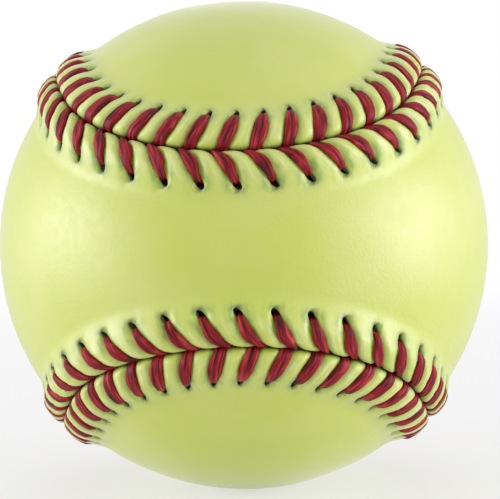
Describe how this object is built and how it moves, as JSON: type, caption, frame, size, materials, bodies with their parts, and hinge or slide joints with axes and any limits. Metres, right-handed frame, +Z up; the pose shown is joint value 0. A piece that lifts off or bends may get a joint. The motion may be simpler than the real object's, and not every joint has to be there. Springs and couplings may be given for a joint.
{
  "type": "softball",
  "caption": "Round softball with two interlocking figure-eight leather panels over a moulded core, joined by a raised seam of red two-needle stitching.",
  "frame": {"origin": "centre of the ball", "axes": "-Y points to the waist of the front panel, which faces the viewer in the picture; +X is to the viewer's right; +Z is up, through the upper lobe of the rear panel"},
  "size_m": [0.089, 0.0908, 0.089],
  "materials": {
    "core": "moulded polyurethane foam, hidden inside",
    "cement": "thin dried contact cement, hidden inside",
    "cover": "smooth dyed leather, satin",
    "thread": "waxed two-ply cord"
  },
  "bodies": {
    "root": {"core": "core", "cement_coat": "cement", "cover_panel_front": "cover", "cover_panel_rear": "cover", "thread_first": "thread", "thread_second": "thread"}
  },
  "joints": []
}
